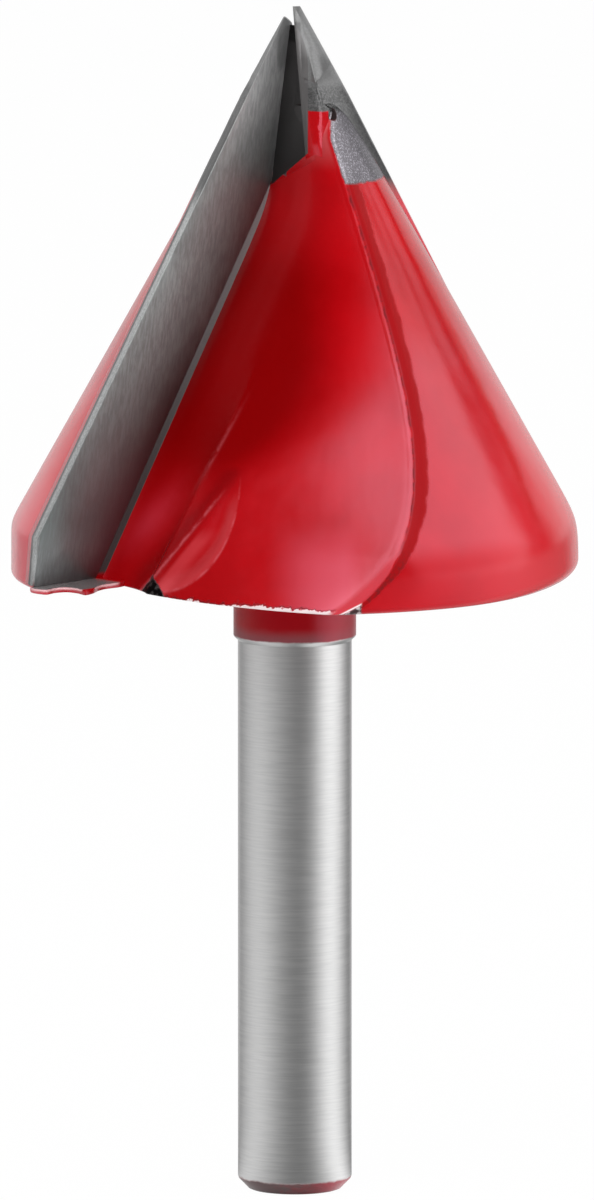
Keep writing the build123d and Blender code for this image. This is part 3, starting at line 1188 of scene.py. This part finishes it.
chip_height = x.step(-3.7, -3.2) * 0.14 + 0.02
over_base = z - BASE_Z + wobble * 0.4 + (fine - 0.5) * 0.55 - chip_height
along_rim = in_gullet * x.step(-7.6, -7.2) * x.step(2.5, 2.3)
chips = over_base.step(0.03, -0.02) * along_rim
chip_line = over_base.bump(0.07, 0.04) * along_rim
scratch = z - (BASE_Z - 0.02) - (x - SCRATCH_X) * SCRATCH_SLOPE
corner = x.step(2.2, 2.35) * x.step(3.75, 3.6) * head
worn_edge = (heel + wobble * 0.4).bump(-0.06, 0.06) * z.step(37.0, 39.5) * z.step(59.0, 57.0)
# Painted shade: band is a dark band on the land just behind the heel, where its rounded corner
# turns from the lamps, and specks darken it near the base.
heel_shade_inner = (heel + wobble * 0.3 - z.step(38.5, 35.5) * 0.4).step(-0.12, 0.06)
band = heel_shade_inner * (heel + wobble * 1.2).step(0.85, 0.6) * head
print("masks of wear:", len(tree.nodes), "nodes so far")

# %% Paint in the gullet: painted shade in its depth, and painted highlights on the scoop's edges
# The heights and places below are where the photograph shows each pool and line, in
# millimetres. Slope and oval are the two edges of the scoop, as in carve_floor.
rising = z.step(39.5, 47.5)
ease = z.bump(43.0, 2.4) * 1.3
inner = in_gullet * (z.step(38.0, 43.0) * 0.7 + 0.3) * (1.0 - z.step(51.0, 56.0) * 0.6)
# Painted shade: the red darkens towards the root of the gullet, where the floor turns from the
# lamps.
painted_depth_shade = (own + 4.5 - rising * 6.2 - ease).step(2.3, -2.0) * inner
# Painted highlight: a pinker pool low in the gullet, towards the heel.
low_gullet_highlight = own.step(-1.8, 1.5) * own.step(4.2, 2.6) * z.step(39.5, 36.8) * in_gullet

slope = own - SLOPE_X + (z * -1.0 + SLOPE_Z) * SLOPE
across = ((own - SCOOP_X) / SCOOP_HALF_WIDE).math("POWER", 2.0)
upward = ((z - SCOOP_Z) / SCOOP_HALF_TALL).math("POWER", 2.0)
oval = (across + upward).math("SQRT")
low = in_gullet * z.step(41.8, 41.2)
# Painted highlights: thin pink lines where the scoop's oval edge, its sloping edge and a rising
# ridge catch the light.
arc_line = (oval + wobble * 0.03).bump(0.985, 0.010) * slope.step(0.0, 0.4) * z.step(41.3, 39.5)
ridge = (slope + wobble * 0.5).bump(0.0, 0.09) * z.step(40.8, 39.0)
rise_line = (own + 5.3 - (z - 40.6) * 0.57 + wobble * 0.5).bump(0.0, 0.1) * z.bump(42.5, 1.7)
edge_highlights = (arc_line + ridge + rise_line * 0.6) * in_gullet * ragged.step(0.3, 0.6)
# Painted highlight: a pinker patch inside the scoop's oval edge, and a pool of it lower down.
scoop_highlight = (oval + wobble * 0.1).step(0.84, 0.97) * oval.step(1.0, 0.97) * slope.step(0.35, 0.85)
pool = slope.step(0.3, 0.6) * slope.step(1.6, 0.9) * z.step(38.6, 37.4)
scoop_highlight = (scoop_highlight + pool) * low * z.step(40.8, 39.0)
# Painted shade: a darker band along the groove beside the scoop.
groove_shade = (slope + wobble).bump(-0.4, 0.55) * low
# Painted highlight: a soft pink patch along a slanting line, left of the scoop's sloping edge.
pink_highlight_line = ((own * 0.66 + z * 0.75 - 23.4) + wobble * 3.0).bump(0.0, 1.9)
pink_highlight = slope.bump(-2.3, 0.75) * pink_highlight_line * low

patchy = noise(tree, place, 0.22, 3.0, seed=3.0)
red = blend(tree, patchy.step(0.3, 0.7), (0.42, 0.0012, 0.003), (0.50, 0.002, 0.005))
red = layered(tree, red, [
    (painted_depth_shade * 0.9, (0.19, 0.0002, 0.0005)),
    (low_gullet_highlight, (0.60, 0.052, 0.078)),
    (groove_shade * 0.6, (0.17, 0.0005, 0.001)),
    (scoop_highlight * 0.4, (0.66, 0.07, 0.085)),
    (pink_highlight * 0.45, (0.55, 0.035, 0.06)),
    (edge_highlights * 0.3, (0.8, 0.2, 0.24)),
])
print("paint in the gullet:", len(tree.nodes), "nodes so far")

# %% Paint on the flank: painted shade along a crease up the land and in a band behind the heel
CONE_TALL = 28.3

round_cone = (z * -1.0 + APEX_Z).math("MINIMUM", CONE_TALL) * (FLANK * math.pi / 180.0)
# Painted shade: a line up the crease, deeper red than the land beside it, whose reflection dim
# holds back below.
crease = spot["Turn"] - 24.5 - z.step(46.0, 38.0) * 4.0 - z.step(51.0, 54.0) * 5.0
crease_shade = (crease * round_cone + wobble * 1.8 + 0.2).bump(0.0, 0.5) * on_flank
crease_shade = crease_shade * z.step(37.5, 39.5) * ragged.step(0.15, 0.5)
specks = noise(tree, place, 5.0, 3.0, 0.7, seed=6.0).step(0.42, 0.6)
grainy_shade = band * z.step(38.5, 36.5) * specks
# Painted light: brighter red far out on each half's flank, and a pink painted reflection along the
# left side.
red = layered(tree, red, [
    (own.step(8.5, 13.5) * on_flank * 0.8, (0.66, 0.012, 0.02)),
    (x.step(-12.5, -15.4) * on_flank * 0.3, (0.85, 0.3, 0.36)),
    (crease_shade * 0.8, (0.50, 0.002, 0.005)),
    (band * 0.75, (0.27, 0.001, 0.002)),
    (grainy_shade * 0.6, (0.09, 0.012, 0.012)),
    (worn_edge * ragged.step(0.4, 0.6) * 0.7, (0.06, 0.01, 0.012)),
])
print("paint on the flank:", len(tree.nodes), "nodes so far")

# %% Collar, chips, and the bare strip beside the blade
on_collar = z.step(BASE_Z + 0.05, BASE_Z - 0.3)
dusty = (z + wobble * 0.5).step(COLLAR_Z + 0.9, COLLAR_Z + 0.1)
grimy = foot * (fine * 0.6 + x * -0.12).step(0.05, 0.5)
ahead = spot["Ahead"]
beside = spot["From Edge"].step(-0.9, -0.8) * ahead.step(-0.3, -0.2)
beside = beside * (ahead + wobble * 0.1).step(0.06, 0.0)
beside = beside * z.step(57.5, 56.5) * z.step(35.0, 35.3)
# The strip is darker low down and lighter high up, as painted shade like that on the blade's face.
strip = blend(tree, z.step(38.0, 56.0), (0.065, 0.07, 0.07), (0.27, 0.272, 0.272))
red = layered(tree, red, [
    (on_collar, (0.30, 0.003, 0.006)),
    (dusty * 0.7, (0.2, 0.09, 0.1)),
    (grimy, (0.13, 0.10, 0.10)),
    (chip_line * 0.7, (0.07, 0.006, 0.008)),
    (chips, (0.78, 0.66, 0.67)),
    (beside, strip),
])
print("collar and chips:", len(tree.nodes), "nodes so far")

# %% Lip, scratched corner, painted shade under the head, and painted highlights on the collar and high in the gullet
on_lip = ahead.step(-0.1, 0.0) * ahead.step(2.6, 2.4) * spot["Reach"].step(10.2, 10.6)
lip_line = (z + wobble * 0.2).bump(FOOT_Z - 0.07, 0.07) * on_lip
lip_top = z.step(FOOT_Z - 0.03, FOOT_Z - 0.015) * z.step(FOOT_Z + 0.05, FOOT_Z + 0.03) * on_lip
torn = blend(tree, fine.step(0.45, 0.6), (0.05, 0.03, 0.03), (0.5, 0.45, 0.45))
# Painted shade: the top of the collar is darkened on its left and middle, under the head.
shade_under_head = z.step(BASE_Z - 1.1, BASE_Z - 0.3) * on_collar
# The collar's right is made lighter and the gullet's top pinker, as painted highlights.
red = layered(tree, red, [
    (lip_line * 0.85, (0.88, 0.6, 0.62)),
    (lip_top, (0.17, 0.165, 0.165)),
    (scratch.step(-0.03, -0.08) * corner, torn),
    (scratch.bump(0.0, 0.045) * corner, (0.85, 0.8, 0.8)),
    (shade_under_head * x.step(2.6, 0.8) * 0.5, (0.06, 0.002, 0.003)),
    (on_collar * x.step(0.9, 2.2) * 0.5, (0.48, 0.05, 0.07)),
    (z.step(57.5, 59.5) * in_gullet * 0.45, (0.55, 0.12, 0.13)),
])
print("all paint:", len(tree.nodes), "nodes so far")

# %% Steel under the paint
rings = noise(tree, place, 9.0, 2.0, 0.7, stretch=(0.05, 0.05, 1.0))
sparkle = noise(tree, place, 9.0, 2.0, 0.8, seed=11.0)
steel = blend(tree, rings.step(0.25, 0.75), (0.56, 0.56, 0.56), (0.65, 0.648, 0.645))
cast = blend(tree, sparkle.step(0.45, 0.7), (0.17, 0.16, 0.175), (0.42, 0.4, 0.44))
tip_steel = blend(tree, sparkle.step(0.4, 0.7), (0.05, 0.05, 0.05), (0.16, 0.16, 0.16))
pit = blend(tree, fine.step(0.45, 0.65), (0.012, 0.010, 0.010), (0.22, 0.2, 0.2))
# Painted shade: the bare steel in the gash and in the notch is coloured dark, as it lies in shade.
steel = layered(tree, steel, [
    (head, cast),
    (z.step(60.6, 61.0), tip_steel),
    (gash_bare, (0.12, 0.115, 0.115)),
    (notch, pit),
])
# The nick is painted black, as the shadow in it.
colour = layered(tree, red, [(bare, steel), (nick, (0.01, 0.01, 0.01))])
print("paint and steel:", len(tree.nodes), "nodes so far")

# %% Gloss and fine relief of the body
# Worn paint is dull. Where the floor or the land turns from the lamps, dim holds back the
# paint's reflection. The paint has a fine peel and a few slow waves, and it stands a little
# higher than the bare steel.
PAINT_ROUGH, STEEL_ROUGH = 0.17, 0.29
PEEL, WAVES, GRIND, PAINT_THICK = 0.006, 0.035, 0.003, 0.05

gloss = noise(tree, place, 0.9, 2.0, seed=5.0)
dull = largest(band, worn_edge, chips, chip_line, beside, nick)
paint_rough = gloss * 0.12 + PAINT_ROUGH + on_collar * 0.15 + dull * 0.35
steel_rough = rings * 0.12 + STEEL_ROUGH + head * 0.1
rough = paint_rough * (1.0 - bare) + steel_rough * bare
peel = noise(tree, place, 1.6, 2.0, 0.5, seed=9.0) * PEEL * (1.0 - bare)
waves = noise(tree, place, 0.4, 1.0, 0.5, seed=15.0) * WAVES * on_flank * (1.0 - bare)
height = peel + rings * GRIND * bare + waves - bare * head * PAINT_THICK
relief = add_node(tree, "ShaderNodeBump", {"Height": height, "Distance": MM, "Strength": 1.0})

dim = largest(
    (own + 4.5 - rising * 8.6 - ease).step(2.3, -2.0) * inner * 0.9,
    (z.step(38.4, 36.9) + z.step(46.5, 51.0)) * (1.0 - in_gullet) * 0.5,
    own.step(11.0, 15.0) * (1.0 - in_gullet) * 0.5,
    on_collar * x.step(2.0, 0.6), crease_shade * 0.9, beside, nick,
)
print("gloss and relief:", len(tree.nodes), "nodes so far")

# %% Body material, put together
PAINT_TINT = (1.0, 0.42, 0.57)
PAINT_IOR = 1.58
COAT, COAT_ROUGH = 0.15, 0.14

tint = blend(tree, dim, PAINT_TINT, (0.42, 0.05, 0.08))
tint = layered(tree, tint, [(dull, (0.25, 0.08, 0.1)), (bare, WHITE)])
shader = add_node(tree, "ShaderNodeBsdfPrincipled", {
    "Base Color": colour, "Metallic": bare, "Roughness": rough, "Normal": relief.outputs[0],
    "IOR": PAINT_IOR, "Specular IOR Level": dim * (bare - 1.0) * 0.6 + 1.0,
    "Specular Tint": tint, "Coat Roughness": COAT_ROUGH,
    "Coat Weight": (1.0 - bare) * (1.0 - dull) * (1.0 - dim) * COAT,
})
add_node(tree, "ShaderNodeOutputMaterial", {"Surface": shader.outputs[0]})
body.data.materials.clear()
body.data.materials.append(painted)
print("body material", len(tree.nodes), "nodes")

# %% [markdown]
# Ground carbide
#
# Carbide is a hard grey sinter. A grinding wheel leaves fine steep marks on the rake face,
# and the relief faces behind the edge are duller and speckled. The grey is made lighter and
# darker with height, as painted light and shade. Paint that ran over the back of the blade, a
# dark line beside it, and painted highlights and shade are laid over the grey by the same
# place masks.

# %% Grey of the rake face and of the relief, with painted light and shade
carbide = bpy.data.materials.new("carbide")
tree = fresh_tree(carbide)
place, spot = place_fields(tree)
ahead, z = spot["Ahead"], spot["Z"]
wavy = (spot["Ragged"] - 0.5) * 0.4
marks = noise(tree, place, 6.0, 3.0, 0.7, stretch=(1.0, 1.0, 0.06))
blotch = noise(tree, place, 0.5, 3.0, seed=4.0)
speck = noise(tree, place, 8.0, 2.0, 0.8, seed=2.0)
low_edge = z.step(57.0, 55.0)
shadow = spot["From Edge"].step(2.0, 0.0) * z.step(50.0, 44.0)
by_wall = spot["Own X"].step(-1.05, -0.85) * z.step(62.5, 63.3)
# Painted light and shade: the flat rake face is darker low down and lighter towards the point, and
# darker beside the gash wall near the point.
grey = blend(tree, z.step(38.5, 50.0), (0.145, 0.175, 0.173), (0.31, 0.355, 0.35))
grey = layered(tree, grey, [
    (z.step(38.5, 36.0), (0.23, 0.265, 0.265)),
    (z.step(51.0, 57.0), (0.25, 0.275, 0.27)),
    (z.step(57.5, 61.0), (0.34, 0.34, 0.34)),
    (by_wall * 0.6, (0.08, 0.08, 0.08)),
    (shadow * 0.6, (0.07, 0.09, 0.09)),
    (marks.step(0.65, 0.35) * 0.4 + blotch.step(0.35, 0.8) * 0.2, (0.08, 0.083, 0.083)),
])
# Painted light: the relief faces are pale low down, darker from there to about 60 mm, and lighter
# above 62.5 mm, as they catch or miss the lamps.
behind = blend(tree, speck.step(0.35, 0.7), (0.035, 0.034, 0.035), (0.13, 0.13, 0.13))
pale = blend(tree, speck.step(0.3, 0.7), (0.26, 0.27, 0.27), (0.50, 0.51, 0.51))
behind = layered(tree, behind, [
    (z.step(61.9, 62.5) * 0.55, (0.24, 0.24, 0.24)),
    (z.step(61.2, 60.0) * 0.55, (0.012, 0.011, 0.012)),
    (low_edge, pale),
])
print("two greys:", len(tree.nodes), "nodes so far")

# %% Paint, a dark line, and painted light and shade on the blades
EDGE_REACH = 15.1

on_face = ahead.step(-0.06, -0.03) * ahead.step(0.14, 0.1)
edge = ((POINT_Z - z) * 0.52 + 0.2).math("MINIMUM", EDGE_REACH) - spot["Reach"]
# Painted highlight: a light line along the cutting edge.
edge_glint = edge.step(0.07, 0.02) * ahead.step(-0.12, -0.07) * marks.step(0.2, 0.6) * z.step(62.0, 60.0)
# Painted shade: the side of the second blade by the gap at the point is darkened.
gap_shade = spot["X"].step(0.42, 0.25) * spot["X"].step(-0.2, -0.1)
gap_shade = gap_shade * z.step(65.8, 65.6) * z.step(63.6, 64.4) * ahead.step(0.2, 0.3)
gash_bare = (spot["Gash"] + wavy * 0.15).step(-0.02, 0.03) * ahead.step(0.02, 0.06)
painted_front = ahead.step(0.1, 0.2) * spot["Heel"].step(0.05, -0.05) * (1.0 - gash_bare)
painted_front = painted_front * (z + wavy * 0.6).step(PAINT_STOP_Z + 0.02, PAINT_STOP_Z - 0.08)
painted_back = (ahead + wavy * 0.2).step(-0.95, -1.0) * low_edge
paint = painted_front.math("MAXIMUM", painted_back)
margin_line = (ahead + wavy * 0.3).bump(-0.84, 0.17) * low_edge
nick = (spot["Nick"] * ahead.step(0.05, 0.1)).step(0.3, 0.5)
# The strip of paint on the back is a lighter pink as a painted reflection, and the gash steel is
# dark and the nick black as painted shade.
colour = layered(tree, behind, [
    (on_face, grey),
    (edge_glint * 0.2, (0.8, 0.8, 0.8)),
    (gap_shade * 0.75, (0.03, 0.03, 0.03)),
    (gash_bare, (0.10, 0.095, 0.095)),
    (paint, (0.46, 0.002, 0.004)),
    (painted_back, (0.70, 0.08, 0.10)),
    (margin_line * 0.9, (0.02, 0.006, 0.008)),
    (nick, (0.01, 0.01, 0.01)),
])
print("paint on the blades:", len(tree.nodes), "nodes so far")

# %% Blade material, put together
CARBIDE_ROUGH, THIN_PAINT_ROUGH, NICK_ROUGH = 0.34, 0.22, 0.4
CARBIDE_METAL, CARBIDE_SHINE = 0.2, 0.8
MARK_DEPTH = 0.008

rough = (marks * 0.15 + CARBIDE_ROUGH) * (1.0 - paint) + paint * THIN_PAINT_ROUGH
rough = rough + nick * NICK_ROUGH
relief = add_node(tree, "ShaderNodeBump", {
    "Height": marks * MARK_DEPTH, "Distance": MM, "Strength": 1.0,
})
shader = add_node(tree, "ShaderNodeBsdfPrincipled", {
    "Base Color": colour, "Metallic": (1.0 - paint) * CARBIDE_METAL, "Roughness": rough,
    "Normal": relief.outputs[0], "IOR": PAINT_IOR,
    "Specular IOR Level": (1.0 - nick) * CARBIDE_SHINE,
    "Specular Tint": blend(tree, paint, WHITE, PAINT_TINT),
})
add_node(tree, "ShaderNodeOutputMaterial", {"Surface": shader.outputs[0]})
for blade in blades:
    blade.data.materials.clear()
    blade.data.materials.append(carbide)
print("carbide", len(tree.nodes), "nodes")

# %% [markdown]
